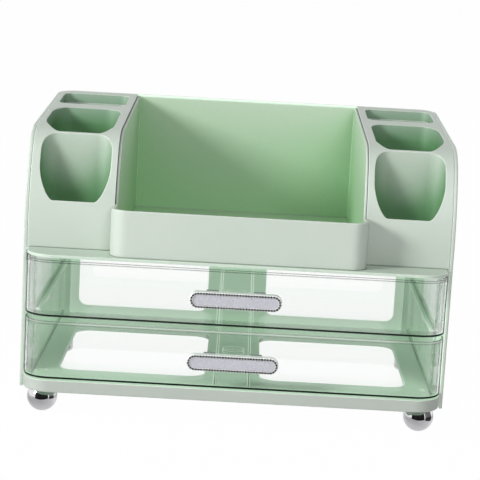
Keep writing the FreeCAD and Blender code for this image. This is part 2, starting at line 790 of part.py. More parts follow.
def handle_stones(centre_z):
    """The row of stones around the inlay of a handle."""
    radius = (handle_height + inlay_height) / 4
    straight = (handle_length + inlay_length) / 4 - radius
    round_end = math.pi * radius
    whole = 4 * straight + 2 * round_end
    count = round(whole / stone_pitch)
    stones = []
    for number in range(count):
        along = whole * number / count
        if along < 2 * straight:
            x = along - straight
            z = radius
        elif along < 2 * straight + round_end:
            angle = (along - 2 * straight) / radius
            x = straight + radius * math.sin(angle)
            z = radius * math.cos(angle)
        elif along < 4 * straight + round_end:
            x = 3 * straight + round_end - along
            z = -radius
        else:
            angle = (along - 4 * straight - round_end) / radius
            x = -straight - radius * math.sin(angle)
            z = -radius * math.cos(angle)
        stones.append(turned(stone(), Vector(0, -1, 0), Vector(x, handle_front_y(), centre_z + z)))
    return Part.makeCompound(stones)


def foot_screw_hole(x, y):
    """The hole down into a foot for its screw."""
    return Part.makeCylinder(
        foot_screw_radius + screw_clearance, foot_screw_depth, Vector(x, y, foot_top_z - foot_screw_depth))


def ball_foot(x, y):
    """A ball foot with a flat below and a collar up to its boss."""
    centre_z = foot_radius - foot_flat
    ball = Part.makeSphere(foot_radius, Vector(x, y, centre_z))
    collar = Part.makeCylinder(
        foot_collar_radius, foot_collar_height, Vector(x, y, foot_top_z - foot_collar_height))
    body = joined([ball, collar]).common(block(
        x - foot_radius, x + foot_radius, y - foot_radius, y + foot_radius, 0, foot_top_z))
    return body.cut(foot_screw_hole(x, y))


def post_foot(x, y):
    """A round post foot with a rounded lower edge."""
    post = Part.makeCylinder(rear_foot_radius, foot_top_z, Vector(x, y, 0))
    lower_edges = [edge for edge in post.Edges if edge.BoundBox.ZMax < same_place]
    return post.makeFillet(rear_foot_round, lower_edges).cut(foot_screw_hole(x, y))


def foot_screws():
    """Screws down through the base into the feet."""
    head_z = base_top_z - foot_screw_recess
    end_z = foot_top_z - foot_screw_depth
    head = Part.makeCylinder(foot_screw_head_radius, foot_screw_head_height, Vector(0, 0, head_z))
    shank = Part.makeCylinder(foot_screw_radius, head_z - end_z, Vector(0, 0, end_z))
    slots = drive_slots(
        foot_screw_head_radius, drive_slot_depth, head_z + foot_screw_head_height - drive_slot_depth)
    screw = joined([head, shank]).cut(slots)
    screws = [turned(screw, Vector(0, 0, 1), Vector(x, y, 0)) for x, y in foot_places()]
    return Part.makeCompound(screws)


def flat_screws(length, direction, places):
    """A set of equal countersunk screws."""
    return Part.makeCompound([turned(flat_screw(length), direction, place) for place in places])


def save_all():
    """Makes and writes every piece."""
    save("base_plate", base_plate())
    save("deck", deck())
    save("back_panel", back_panel())
    right_panel = side_panel()
    save("right_side_panel", right_panel)
    save("left_side_panel", mirrored(right_panel))
    right_holder = brush_holder()
    save("right_brush_holder", right_holder)
    save("left_brush_holder", mirrored(right_holder))
    save("centre_bin", centre_bin())
    right_runner = runner()
    save("right_runner", right_runner)
    save("left_runner", mirrored(right_runner))
    left_screws = runner_screw_shapes(flat_screw(runner_screw_length))
    save("runner_screws", Part.makeCompound(left_screws + [mirrored(screw) for screw in left_screws]))
    for name, floor_z in (("lower", lower_floor_z), ("upper", upper_floor_z)):
        centre_z = floor_z + handle_above_floor
        save(name + "_drawer", drawer(floor_z))
        save(name + "_handle_body", handle_body(centre_z))
        save(name + "_handle_pads", handle_pads(centre_z))
        save(name + "_handle_inlay", handle_inlay(centre_z))
        save(name + "_handle_stones", handle_stones(centre_z))
    front_left, front_right, rear_left, rear_right = foot_places()
    save("front_left_foot", ball_foot(*front_left))
    save("front_right_foot", ball_foot(*front_right))
    save("rear_left_foot", post_foot(*rear_left))
    save("rear_right_foot", post_foot(*rear_right))
    save("foot_screws", foot_screws())
    save("holder_screws", flat_screws(
        pod_screw_length, Vector(0, 0, 1), [Vector(x, y, deck_bottom_z) for x, y in pod_screw_places()]))
    save("back_screws", flat_screws(
        back_screw_length, Vector(0, -1, 0), [Vector(x, case_depth, z) for x, z in back_screw_places()]))


os.makedirs("parts", exist_ok=True)
save_all()
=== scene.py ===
import bmesh
import bpy
import json
import math
from mathutils import Matrix, Vector


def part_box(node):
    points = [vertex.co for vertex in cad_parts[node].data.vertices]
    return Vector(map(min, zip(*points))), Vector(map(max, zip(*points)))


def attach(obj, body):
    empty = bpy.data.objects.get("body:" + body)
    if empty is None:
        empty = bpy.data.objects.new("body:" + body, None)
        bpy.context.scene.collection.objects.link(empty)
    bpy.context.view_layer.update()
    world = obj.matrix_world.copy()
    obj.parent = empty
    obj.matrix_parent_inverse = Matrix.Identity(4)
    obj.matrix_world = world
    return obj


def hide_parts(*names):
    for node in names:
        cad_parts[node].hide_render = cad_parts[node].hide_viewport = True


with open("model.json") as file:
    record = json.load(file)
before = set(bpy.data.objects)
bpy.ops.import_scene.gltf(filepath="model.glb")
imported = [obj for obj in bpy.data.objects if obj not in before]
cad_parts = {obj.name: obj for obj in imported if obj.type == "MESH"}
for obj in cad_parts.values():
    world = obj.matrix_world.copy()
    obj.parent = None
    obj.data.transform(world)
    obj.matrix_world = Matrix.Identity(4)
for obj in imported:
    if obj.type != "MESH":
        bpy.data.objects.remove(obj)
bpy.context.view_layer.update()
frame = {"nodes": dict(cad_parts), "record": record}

# Sizes are in metres. X runs left to right, Y to the back, Z up.
mm = 0.001
handle_reach = 8.4 * mm
case_depth = 245.0 * mm
drawer_front_y = handle_reach - (case_depth + handle_reach) / 2

# Where the drawers' features lie, and where the dark refraction lines and pale highlights that thick clear
# plastic shows are painted on them
drawer_floor_z = (35.2 * mm, 86.5 * mm)
floor_mark_rise = 1.15 * mm
floor_side_x = 162.9 * mm
rim_line_z = (80.6 * mm, 82.6 * mm, 130.9 * mm, 132.6 * mm)
lower_rim_z = 83.3 * mm
rib_x = 14.0 * mm
rib_half_width = 0.95 * mm
gate_ring_y = drawer_front_y + 119.0 * mm
gate_ring_radius = 9.5 * mm
front_marks_end_y = drawer_front_y + 25.0 * mm

# Levels inside the case, used to tell inner faces from outer ones
drawer_middle = (0.0, 0.0, 85.0 * mm)
bin_middle = (0.0, 0.0, 190.0 * mm)
above_all = (0.0, 0.0, 300.0 * mm)

# Kinds of group sockets
NUMBER = "NodeSocketFloat"
COLOUR = "NodeSocketColor"
VECTOR = "NodeSocketVector"


def rgb(red, green, blue):
    """An opaque colour."""
    return (red, green, blue, 1.0)


def grey(level):
    """An opaque grey."""
    return rgb(level, level, level)


# Node helpers

def fill(tree, socket, value):
    """Gives an input its value, which is an output to join it to or a plain value."""
    if isinstance(value, bpy.types.NodeSocket):
        tree.links.new(value, socket)
    else:
        socket.default_value = value


def add_node(tree, kind, **values):
    """Adds a shader node and sets its options and its inputs."""
    node = tree.nodes.new(kind)
    for name, value in values.items():
        if hasattr(node, name):
            setattr(node, name, value)
        else:
            fill(tree, node.inputs[name.replace("_", " ")], value)
    return node


def link(tree, source, target):
    """Joins an output to an input."""
    tree.links.new(source, target)


def maths(tree, operation, *values):
    """A calculation with numbers."""
    node = add_node(tree, "ShaderNodeMath", operation=operation)
    for socket, value in zip(node.inputs, values):
        fill(tree, socket, value)
    return node.outputs["Value"]


def vector_maths(tree, operation, *values):
    """A calculation with vectors."""
    node = add_node(tree, "ShaderNodeVectorMath", operation=operation)
    for socket, value in zip(node.inputs, values):
        fill(tree, socket, value)
    return node.outputs["Value" if operation in ("DOT_PRODUCT", "LENGTH") else "Vector"]


def strongest(tree, values):
    """The highest of several values."""
    highest = values[0]
    for value in values[1:]:
        highest = maths(tree, "MAXIMUM", highest, value)
    return highest


def product(tree, *values):
    """Several values multiplied."""
    result = values[0]
    for value in values[1:]:
        result = maths(tree, "MULTIPLY", result, value)
    return result


def stretch(tree, value, low, high, new_low, new_high):
    """Maps a value from one range to another, clamped."""
    node = add_node(
        tree, "ShaderNodeMapRange", Value=value, From_Min=low, From_Max=high, To_Min=new_low, To_Max=new_high)
    return node.outputs["Result"]


def distance(tree, value, place):
    """How far a value is from a place on its axis."""
    return maths(tree, "ABSOLUTE", maths(tree, "SUBTRACT", value, place))


def stripe(tree, value, place, core, edge):
    """1 up to the core distance from a place on an axis, and 0 from the edge distance on."""
    return stretch(tree, distance(tree, value, place), core, edge, 1.0, 0.0)


def mix_colours(tree, factor, first, second, blend="MIX"):
    """Blends two colours."""
    node = add_node(tree, "ShaderNodeMix", data_type="RGBA", blend_type=blend)
    for index, value in ((0, factor), (6, first), (7, second)):
        fill(tree, node.inputs[index], value)
    return node.outputs[2]


def blend_shaders(tree, factor, first, second):
    """Blends two shaders."""
    node = add_node(tree, "ShaderNodeMixShader", Fac=factor)
    link(tree, first, node.inputs[1])
    link(tree, second, node.inputs[2])
    return node.outputs["Shader"]


def object_place(tree):
    """The shaded point in object coordinates."""
    return add_node(tree, "ShaderNodeTexCoord").outputs["Object"]


def split_axes(tree, vector):
    """The X, Y and Z of a vector."""
    return add_node(tree, "ShaderNodeSeparateXYZ", Vector=vector).outputs


def painted_crevice_shade(tree, reach, deep, shallow, share):
    """A share of painted shade that grows where faces meet closely within a reach."""
    shade = add_node(tree, "ShaderNodeAmbientOcclusion", samples=8, Distance=reach)
    return stretch(tree, shade.outputs["AO"], deep, shallow, share, 0.0)


def new_group(name, inputs, outputs):
    """Starts a shader node group, and gives it with its entries and its results."""
    group = bpy.data.node_groups.new(name, "ShaderNodeTree")
    for label, kind, default in inputs:
        socket = group.interface.new_socket(label, in_out="INPUT", socket_type=kind)
        socket.default_value = default
    for label, kind in outputs:
        group.interface.new_socket(label, in_out="OUTPUT", socket_type=kind)
    entry = group.nodes.new("NodeGroupInput")
    leave = group.nodes.new("NodeGroupOutput")
    return group, entry.outputs, leave.inputs


def place_group(tree, group, **values):
    """Puts a group in a material with its own values, and gives its outputs."""
    node = add_node(tree, "ShaderNodeGroup", node_tree=group)
    for name, value in values.items():
        fill(tree, node.inputs[name.replace("_", " ")], value)
    return node.outputs


# Shared surface effects

def make_mould_texture():
    """Soft mottle and fine orange peel of moulded plastic, with softened edges and a mask of the edges for
    painted highlights.
    """
    group, entry, leave = new_group(
        "mould_texture",
        [("Mottle Scale", NUMBER, 18.0), ("Peel Scale", NUMBER, 900.0), ("Peel Height", NUMBER, 0.02),
         ("Edge Radius", NUMBER, 0.0006)],
        [("Mottle", NUMBER), ("Peel", NUMBER), ("Edge", NUMBER), ("Normal", VECTOR)])
    place = object_place(group)
    mottle = add_node(
        group, "ShaderNodeTexNoise", Vector=place, Scale=entry["Mottle Scale"], Detail=3.0, Roughness=0.55)
    peel = add_node(
        group, "ShaderNodeTexNoise", Vector=place, Scale=entry["Peel Scale"], Detail=2.0, Roughness=0.5)
    rounded = add_node(group, "ShaderNodeBevel", samples=6, Radius=entry["Edge Radius"]).outputs["Normal"]
    bump = add_node(
        group, "ShaderNodeBump", Distance=0.0004, Strength=entry["Peel Height"], Height=peel.outputs["Fac"],
        Normal=rounded)
    flat = add_node(group, "ShaderNodeNewGeometry").outputs["Normal"]
    agreement = vector_maths(group, "DOT_PRODUCT", rounded, flat)
    link(group, mottle.outputs["Fac"], leave["Mottle"])
    link(group, peel.outputs["Fac"], leave["Peel"])
    link(group, stretch(group, agreement, 0.985, 0.93, 0.0, 1.0), leave["Edge"])
    link(group, bump.outputs["Normal"], leave["Normal"])
    return group


def make_painted_light_and_shade():
    """Painted light and shade for light that bounces inside tinted plastic: a colour on inner faces, painted
    shade in hollows and where faces meet, and a painted glow on inner faces.
    """
    group, entry, leave = new_group(
        "painted_light_and_shade",
        [("Outer Colour", COLOUR, grey(0.8)), ("Inner Colour", COLOUR, grey(0.6)),
         ("Hollow Colour", COLOUR, grey(0.4)), ("Glow Colour", COLOUR, rgb(0.5, 0.7, 0.5)),
         ("Reach", NUMBER, 0.12), ("Closed", NUMBER, 0.1), ("Open", NUMBER, 0.8),
         ("Inner Share", NUMBER, 1.0), ("Middle", VECTOR, (0.0, 0.0, 0.0))],
        [("Color", COLOUR), ("Inner Light", COLOUR), ("Seam", NUMBER)])
    # Painted shade: where the part closes in around a point, its colour turns to the hollow colour
    shade = add_node(
        group, "ShaderNodeAmbientOcclusion", samples=8, only_local=True, Distance=entry["Reach"])
    openness = stretch(group, shade.outputs["AO"], entry["Closed"], entry["Open"], 0.0, 1.0)
    coordinates = add_node(group, "ShaderNodeTexCoord").outputs
    inward = vector_maths(group, "SUBTRACT", entry["Middle"], coordinates["Object"])
    facing = vector_maths(group, "DOT_PRODUCT", inward, coordinates["Normal"])
    inner = product(group, stretch(group, facing, 0.0, 0.03, 0.0, 1.0), entry["Inner Share"])
    # Inner faces get a colour painted for light bouncing inside the case
    open_colour = mix_colours(group, inner, entry["Outer Colour"], entry["Inner Colour"])
    link(group, mix_colours(group, openness, entry["Hollow Colour"], open_colour), leave["Color"])
    # Painted glow on inner faces
    link(group, mix_colours(group, inner, grey(0.0), entry["Glow Colour"]), leave["Inner Light"])
    # Painted shade where faces meet closely
    link(group, painted_crevice_shade(group, 1.8 * mm, 0.45, 0.8, 1.0), leave["Seam"])
    return group


def make_fine_wear():
    """Fine rubbing marks for metal: a roughness, a mask and a normal."""
    group, entry, leave = new_group(
        "fine_wear",
        [("Mark Scale", NUMBER, 120.0), ("Mark Height", NUMBER, 0.02), ("Low Roughness", NUMBER, 0.04),
         ("High Roughness", NUMBER, 0.14)],
        [("Roughness", NUMBER), ("Mask", NUMBER), ("Normal", VECTOR)])
    cloud = add_node(
        group, "ShaderNodeTexNoise", Vector=object_place(group), Scale=entry["Mark Scale"], Detail=5.0,
        Roughness=0.6).outputs["Fac"]
    bump = add_node(group, "ShaderNodeBump", Distance=0.0002, Strength=entry["Mark Height"], Height=cloud)
    roughness = stretch(group, cloud, 0.35, 0.7, entry["Low Roughness"], entry["High Roughness"])
    link(group, roughness, leave["Roughness"])
    link(group, cloud, leave["Mask"])
    link(group, bump.outputs["Normal"], leave["Normal"])
    return group


def make_clear_painted_lines():
    """Where clear drawers get painted dark refraction lines and painted pale highlights along their edges, and
    how plainly each face lets light through.
    """
    group, entry, leave = new_group(
        "clear_painted_lines",
        [("Rib Place", NUMBER, rib_x), ("Ring Radius", NUMBER, gate_ring_radius)],
        [("Floor Edge", NUMBER), ("Corner", NUMBER), ("Rim Edge", NUMBER), ("Pale Line", NUMBER),
         ("Plain Share", NUMBER)])
    coordinates = add_node(group, "ShaderNodeTexCoord").outputs
    place = split_axes(group, coordinates["Object"])
    normal = split_axes(group, coordinates["Normal"])
    off_middle = maths(group, "ABSOLUTE", place["X"])
    sideways = maths(group, "ABSOLUTE", normal["X"])
    slope = maths(group, "SUBTRACT", 1.0, maths(group, "ABSOLUTE", normal["Z"]))
    level = stretch(group, slope, 0.05, 0.3, 1.0, 0.0)
    not_level = maths(group, "SUBTRACT", 1.0, level)
    ahead = stretch(
        group, place["Y"], front_marks_end_y - 1.0 * mm, front_marks_end_y + 1.0 * mm, 1.0, 0.0)
    faint_side = stretch(group, sideways, 0.7, 0.9, 0.0, 0.3)
    marked_wall = product(group, not_level, maths(group, "MAXIMUM", ahead, faint_side))

    # Painted dark refraction lines along the floors' edges and on the corners beside the front
    floor_edges = [
        stripe(group, place["Z"], floor_z + floor_mark_rise, 0.75 * mm, 0.95 * mm)
        for floor_z in drawer_floor_z]
    link(group, product(group, strongest(group, floor_edges), marked_wall), leave["Floor Edge"])
    link(group, product(group, ahead, stretch(group, sideways, 0.92, 0.94, 0.0, 1.0)), leave["Corner"])

    # Painted thin grey refraction lines under the rims and along both sides of the floors
    rim_lines = strongest(
        group, [stripe(group, place["Z"], line_z, 0.2 * mm, 0.35 * mm) for line_z in rim_line_z])
    side_lines = stripe(group, off_middle, floor_side_x, 0.2 * mm, 0.36 * mm)
    grey_lines = maths(
        group, "MAXIMUM", product(group, rim_lines, marked_wall, 0.55), product(group, side_lines, level))
    link(group, grey_lines, leave["Rim Edge"])

    # Painted pale highlights along the ribs and the gate ring, and in a band under the lower drawer's rim
    rib_edges = stripe(
        group, distance(group, off_middle, entry["Rib Place"]), rib_half_width, 0.12 * mm, 0.25 * mm)
    from_ring = vector_maths(
        group, "MULTIPLY_ADD", coordinates["Object"], (1.0, 1.0, 0.0), (0.0, -gate_ring_y, 0.0))
    ring = stripe(group, vector_maths(group, "LENGTH", from_ring), entry["Ring Radius"], 0.4 * mm, 0.6 * mm)
    behind_front = stretch(
        group, place["Y"], drawer_front_y + 3.0 * mm, drawer_front_y + 4.0 * mm, 0.0, 1.0)
    pale_lines = product(group, maths(group, "MAXIMUM", rib_edges, product(group, ring, level)), behind_front)
    rim_band = product(
        group, stripe(group, place["Z"], lower_rim_z, 2.6 * mm, 2.9 * mm),
        stretch(group, off_middle, 120.0 * mm, 145.0 * mm, 0.6, 0.2), marked_wall, ahead)
    link(group, maths(group, "MAXIMUM", pale_lines, rim_band), leave["Pale Line"])

    # The share of light that goes straight through: most of it, but less in the side walls
    side = stretch(group, sideways, 0.5, 0.9, 0.0, 1.0)
    upright_share = product(group, stretch(group, ahead, 0.0, 1.0, 0.97, 0.9), not_level)
    share = maths(group, "ADD", upright_share, product(group, level, 0.98))
    off_side = product(group, share, maths(group, "SUBTRACT", 1.0, side))
    link(group, maths(group, "ADD", off_side, product(group, side, 0.15)), leave["Plain Share"])
    return group


mould_texture = make_mould_texture()
painted_light_and_shade = make_painted_light_and_shade()
fine_wear = make_fine_wear()
clear_painted_lines = make_clear_painted_lines()


# Materials

def new_material(name):
    """A material with its Principled shader and output, ready to wire."""
    material = bpy.data.materials.new(name)
    material.use_nodes = True
    tree = material.node_tree
    tree.nodes.clear()
    shader = tree.nodes.new("ShaderNodeBsdfPrincipled")
    output = tree.nodes.new("ShaderNodeOutputMaterial")
    link(tree, shader.outputs["BSDF"], output.inputs["Surface"])
    return material, tree, shader, output


def make_sage_plastic(
        name, inner_light, outer_colour=rgb(0.455, 0.515, 0.455), inner_colour=rgb(0.50, 0.70, 0.52),
        hollow_colour=rgb(0.20, 0.42, 0.22), high_hollow_colour=None, glow_colour=rgb(0.50, 0.70, 0.52),
        middle=drawer_middle, inner_share=1.0, closed=0.1, open_share=0.75, seam_shade_share=0.0, front_light=1.0):
    """Satin sage plastic of the case, whose inner faces get a painted glow in place of the little light its
    thin walls let through.
    """
    material, tree, shader, _ = new_material(name)
    texture = place_group(
        tree, mould_texture, Mottle_Scale=16.0, Peel_Scale=1300.0, Peel_Height=0.05, Edge_Radius=0.0010)
    place = split_axes(tree, object_place(tree))
    # Painted shade in hollows, which can change colour with height
    if high_hollow_colour:
        height = stretch(tree, place["Z"], 224.0 * mm, 242.0 * mm, 0.0, 1.0)
        hollow_colour = mix_colours(tree, height, hollow_colour, high_hollow_colour)
    # Painted light and shade: an inner colour and glow, a hollow colour, and shade where faces meet
    bounce_and_shade = place_group(
        tree, painted_light_and_shade, Outer_Colour=outer_colour, Inner_Colour=inner_colour, Hollow_Colour=hollow_colour,
        Glow_Colour=glow_colour, Reach=0.25, Closed=closed, Open=open_share, Inner_Share=inner_share,
        Middle=middle)
    lighter = mix_colours(tree, 1.0, bounce_and_shade["Color"], rgb(1.03, 1.02, 1.03), "MULTIPLY")
    mottle = stretch(tree, texture["Mottle"], 0.3, 0.7, 0.0, 1.0)
    colour = mix_colours(tree, mottle, bounce_and_shade["Color"], lighter)
    # Painted highlight along the rounded edges
    colour = mix_colours(tree, product(tree, texture["Edge"], 0.85), colour, rgb(0.80, 0.86, 0.80))
    # Painted shade where parts meet closely, in a dark green
    colour = mix_colours(tree, product(tree, bounce_and_shade["Seam"], seam_shade_share), colour, rgb(0.03, 0.06, 0.035))
    link(tree, colour, shader.inputs["Base Color"])
    link(tree, stretch(tree, texture["Mottle"], 0.25, 0.75, 0.38, 0.46), shader.inputs["Roughness"])
    link(tree, texture["Normal"], shader.inputs["Normal"])
    # Painted glow on the inner faces in place of light inside the case, weaker towards the front when
    # front_light is below 1
    link(tree, bounce_and_shade["Inner Light"], shader.inputs["Emission Color"])
    if front_light == 1.0:
        shader.inputs["Emission Strength"].default_value = inner_light
    else:
        light = stretch(tree, place["Y"], -120.0 * mm, 20.0 * mm, front_light * inner_light, inner_light)
        link(tree, light, shader.inputs["Emission Strength"])
    shader.inputs["IOR"].default_value = 1.5
    return material


def make_clear_plastic():
    """Clear moulded plastic of the drawers, which lets light through to what is inside, with painted dark
    refraction lines and painted pale highlights.
    """
    material, tree, shader, output = new_material("clear_plastic")
    texture = place_group(
        tree, mould_texture, Mottle_Scale=30.0, Peel_Scale=120.0, Peel_Height=0.006, Edge_Radius=0.0002)
    line_masks = place_group(tree, clear_painted_lines)
    clear = mix_colours(tree, texture["Mottle"], rgb(0.994, 1.0, 0.997), grey(1.0))
    # Painted dark refraction line along the floors' edges
    colour = mix_colours(tree, line_masks["Floor Edge"], clear, rgb(0.004, 0.006, 0.005))
    link(tree, colour, shader.inputs["Base Color"])
    link(tree, stretch(tree, texture["Peel"], 0.2, 0.8, 0.0, 0.02), shader.inputs["Roughness"])
    link(tree, texture["Normal"], shader.inputs["Normal"])
    shader.inputs["IOR"].default_value = 1.49
    shader.inputs["Transmission Weight"].default_value = 1.0

    # Past the first mirror image a face only lets light through, which keeps the inside bright
    passing = add_node(tree, "ShaderNodeBsdfTransparent", Color=rgb(0.997, 1.0, 0.998)).outputs["BSDF"]
    light_path = add_node(tree, "ShaderNodeLightPath").outputs
    unmarked = maths(tree, "SUBTRACT", 1.0, line_masks["Floor Edge"])
    late = stretch(tree, light_path["Glossy Depth"], 1.4, 1.6, 0.0, 1.0)
    through = maths(tree, "MAXIMUM", product(tree, line_masks["Plain Share"], unmarked), late)
    glassy = blend_shaders(tree, through, shader.outputs["BSDF"], passing)

    # Painted pale highlights glow on the ribs, the gate ring and the band under the lower rim
    pale = add_node(tree, "ShaderNodeEmission", Color=rgb(0.62, 0.74, 0.63)).outputs["Emission"]
    pale_share = stretch(tree, line_masks["Pale Line"], 0.0, 1.0, 0.002, 0.65)
    marked = blend_shaders(tree, pale_share, glassy, pale)

    # Painted dark refraction lines at the floor edges and under the rims, and dark outlines on the front
    # corners
    dark = add_node(tree, "ShaderNodeBsdfDiffuse", Color=rgb(0.01, 0.014, 0.012)).outputs["BSDF"]
    grazing = add_node(tree, "ShaderNodeLayerWeight").outputs["Facing"]
    outline = stretch(tree, grazing, 0.70, 0.78, 0.0, 0.95)
    dark_share = strongest(tree, [
        product(tree, line_masks["Floor Edge"], 0.85),
        product(tree, line_masks["Rim Edge"], 0.72),
        product(tree, line_masks["Corner"], outline)])
    marked = blend_shaders(tree, dark_share, marked, dark)

    unseen = maths(tree, "MAXIMUM", light_path["Is Shadow Ray"], light_path["Is Diffuse Ray"])
    link(tree, blend_shaders(tree, unseen, marked, passing), output.inputs["Surface"])
    return material


def make_bright_metal(name, colour, dull_colour, low, high, metallic=1.0):
    """Plated metal with fine rubbing marks and painted shade in its crevices."""
    material, tree, shader, _ = new_material(name)
    wear = place_group(
        tree, fine_wear, Mark_Scale=160.0, Mark_Height=0.03, Low_Roughness=low, High_Roughness=high)
    mixed = mix_colours(tree, wear["Mask"], colour, dull_colour)
    # Painted shade: crevices darken towards black
    deep = painted_crevice_shade(tree, 0.8 * mm, 0.4, 0.75, 0.92)
    link(tree, mix_colours(tree, deep, mixed, grey(0.01)), shader.inputs["Base Color"])
    link(tree, wear["Roughness"], shader.inputs["Roughness"])
    link(tree, wear["Normal"], shader.inputs["Normal"])
    shader.inputs["Metallic"].default_value = metallic
    return material


def cell_values(tree, scale):
    """Three random values for each cell of a fine cell pattern."""
    cells = add_node(tree, "ShaderNodeTexVoronoi", Vector=object_place(tree), Scale=scale, Randomness=1.0)
    return add_node(tree, "ShaderNodeSeparateColor", Color=cells.outputs["Color"]).outputs


def make_glitter():
    """Fine silver glitter under a smooth clear coat."""
    material, tree, shader, _ = new_material("silver_glitter")
    flakes = cell_values(tree, 2600.0)
    sparkle = stretch(tree, flakes["Red"], 0.9, 1.0, 0.0, 0.7)
    base = mix_colours(tree, flakes["Green"], rgb(0.61, 0.61, 0.67), rgb(0.66, 0.66, 0.72))
    link(tree, mix_colours(tree, sparkle, base, rgb(0.92, 0.92, 0.96)), shader.inputs["Base Color"])
    link(tree, stretch(tree, flakes["Blue"], 0.0, 1.0, 0.25, 0.4), shader.inputs["Roughness"])
    tilt = add_node(tree, "ShaderNodeBump", Strength=0.12, Distance=0.0002, Height=flakes["Blue"])
    link(tree, tilt.outputs["Normal"], shader.inputs["Normal"])
    shader.inputs["Metallic"].default_value = 0.35
    shader.inputs["Coat Weight"].default_value = 0.5
    shader.inputs["Coat Roughness"].default_value = 0.08
    return material


def make_cut_stone():
    """Cut glass with a black foil back: black inside, with small changes from facet to facet."""
    material, tree, shader, _ = new_material("cut_stone")
    facets = cell_values(tree, 1500.0)
    fire = stretch(tree, facets["Red"], 0.75, 0.95, 0.0, 1.0)
    colour = mix_colours(tree, fire, rgb(0.008, 0.008, 0.01), rgb(0.09, 0.09, 0.11))
    link(tree, colour, shader.inputs["Base Color"])
    link(tree, stretch(tree, facets["Green"], 0.0, 1.0, 0.06, 0.2), shader.inputs["Roughness"])
    shader.inputs["IOR"].default_value = 1.5
    return material


def make_pad():
    """Dark adhesive foam pad."""
    material, tree, shader, _ = new_material("adhesive_pad")
    texture = place_group(
        tree, mould_texture, Mottle_Scale=60.0, Peel_Scale=2500.0, Peel_Height=0.3, Edge_Radius=0.0002)
    colour = mix_colours(tree, texture["Peel"], rgb(0.10, 0.12, 0.11), rgb(0.20, 0.23, 0.21))
    link(tree, colour, shader.inputs["Base Color"])
    link(tree, stretch(tree, texture["Mottle"], 0.3, 0.7, 0.5, 0.7), shader.inputs["Roughness"])
    link(tree, texture["Normal"], shader.inputs["Normal"])
    return material


# The case plastic's outer colour is painted darker for its parts in shade, and its painted glow is weaker
# towards the front
slot_materials = {
    "case_plastic": make_sage_plastic(
        "sage_plastic", 0.26, outer_colour=rgb(0.385, 0.425, 0.385), hollow_colour=rgb(0.16, 0.38, 0.18),
        front_light=0.25),
    "clear_plastic": make_clear_plastic(),
    "handle_silver": make_bright_metal("silver_plate", grey(0.93), rgb(0.84, 0.84, 0.85), 0.18, 0.3, 0.3),
    "pad_clear": make_pad(),
    "inlay_glitter": make_glitter(),
    "cut_stone": make_cut_stone(),
    "foot_chrome": make_bright_metal(
        "chrome_plate", rgb(0.82, 0.82, 0.83), rgb(0.74, 0.74, 0.75), 0.02, 0.07),
    "screw_steel": make_bright_metal("screw_steel", rgb(0.60, 0.60, 0.61), rgb(0.45, 0.45, 0.46), 0.25, 0.4),
}

sage_wall = make_sage_plastic("sage_plastic_wall", 0.6)
sage_side = make_sage_plastic(
    "sage_plastic_side", 0.38, inner_colour=rgb(0.50, 0.66, 0.52), hollow_colour=rgb(0.20, 0.40, 0.22),
    glow_colour=rgb(0.50, 0.68, 0.52))
sage_runner = make_sage_plastic(
    "sage_plastic_runner", 0.22, hollow_colour=rgb(0.36, 0.54, 0.38), middle=above_all)
sage_deck = make_sage_plastic(
    "sage_plastic_deck", 0.2, outer_colour=rgb(0.47, 0.565, 0.475), seam_shade_share=0.85)
sage_holder = make_sage_plastic(
    "sage_plastic_holder", 0.0, hollow_colour=rgb(0.10, 0.24, 0.105), high_hollow_colour=rgb(0.27, 0.39, 0.29),
    inner_share=0.0, closed=0.5, open_share=1.0, seam_shade_share=0.95)
sage_bin = make_sage_plastic(
    "sage_plastic_bin", 0.07, inner_colour=rgb(0.54, 0.60, 0.53), hollow_colour=rgb(0.12, 0.34, 0.11),
    glow_colour=rgb(0.46, 0.72, 0.40), middle=bin_middle, open_share=0.8, seam_shade_share=0.85)

# Nodes whose own copy of the sage plastic has a different painted glow, painted shade or outer colour
node_materials = {
    "right_brush_holder": sage_holder,
    "left_brush_holder": sage_holder,
    "centre_bin": sage_bin,
    "deck": sage_deck,
    "back_panel": sage_wall,
    "right_side_panel": sage_side,
    "left_side_panel": sage_side,
    "right_runner": sage_runner,
    "left_runner": sage_runner,
    "foot_screws": sage_runner,
}
node_slots = {entry["node"]: entry["material_slot"] for entry in frame["record"]["subparts"]}
for node_name, node_object in frame["nodes"].items():
    node_object.data.materials.clear()
    node_object.data.materials.append(
        node_materials.get(node_name, slot_materials[node_slots[node_name]]))


def put_mesh(name, mesh, material):
    """Turns a finished mesh into an object of the scene."""
    data = bpy.data.meshes.new(name)
    mesh.to_mesh(data)
    mesh.free()
    data.materials.append(material)
    piece = bpy.data.objects.new(name, data)
    bpy.context.scene.collection.objects.link(piece)
    return piece


# Stones and their settings

handle_front_y = drawer_front_y - 7.5 * mm
stone_row_radius = 5.4 * mm
stone_row_straight = 30.05 * mm
stone_pitch = 2.25 * mm


def stone_places():
    """Points of the row around a handle's inlay, as (x, z) from its centre."""
    round_end = math.pi * stone_row_radius
    whole = 4 * stone_row_straight + 2 * round_end
    count = round(whole / stone_pitch)
    places = []
    for number in range(count):
        along = whole * number / count
        if along < 2 * stone_row_straight:
            places.append((along - stone_row_straight, stone_row_radius))
        elif along < 2 * stone_row_straight + round_end:
            angle = (along - 2 * stone_row_straight) / stone_row_radius
            places.append((
                stone_row_straight + stone_row_radius * math.sin(angle), stone_row_radius * math.cos(angle)))
        elif along < 4 * stone_row_straight + round_end:
            places.append((3 * stone_row_straight + round_end - along, -stone_row_radius))
        else:
            angle = (along - 4 * stone_row_straight - round_end) / stone_row_radius
            places.append((
                -stone_row_straight - stone_row_radius * math.sin(angle), -stone_row_radius * math.cos(angle)))
    return places


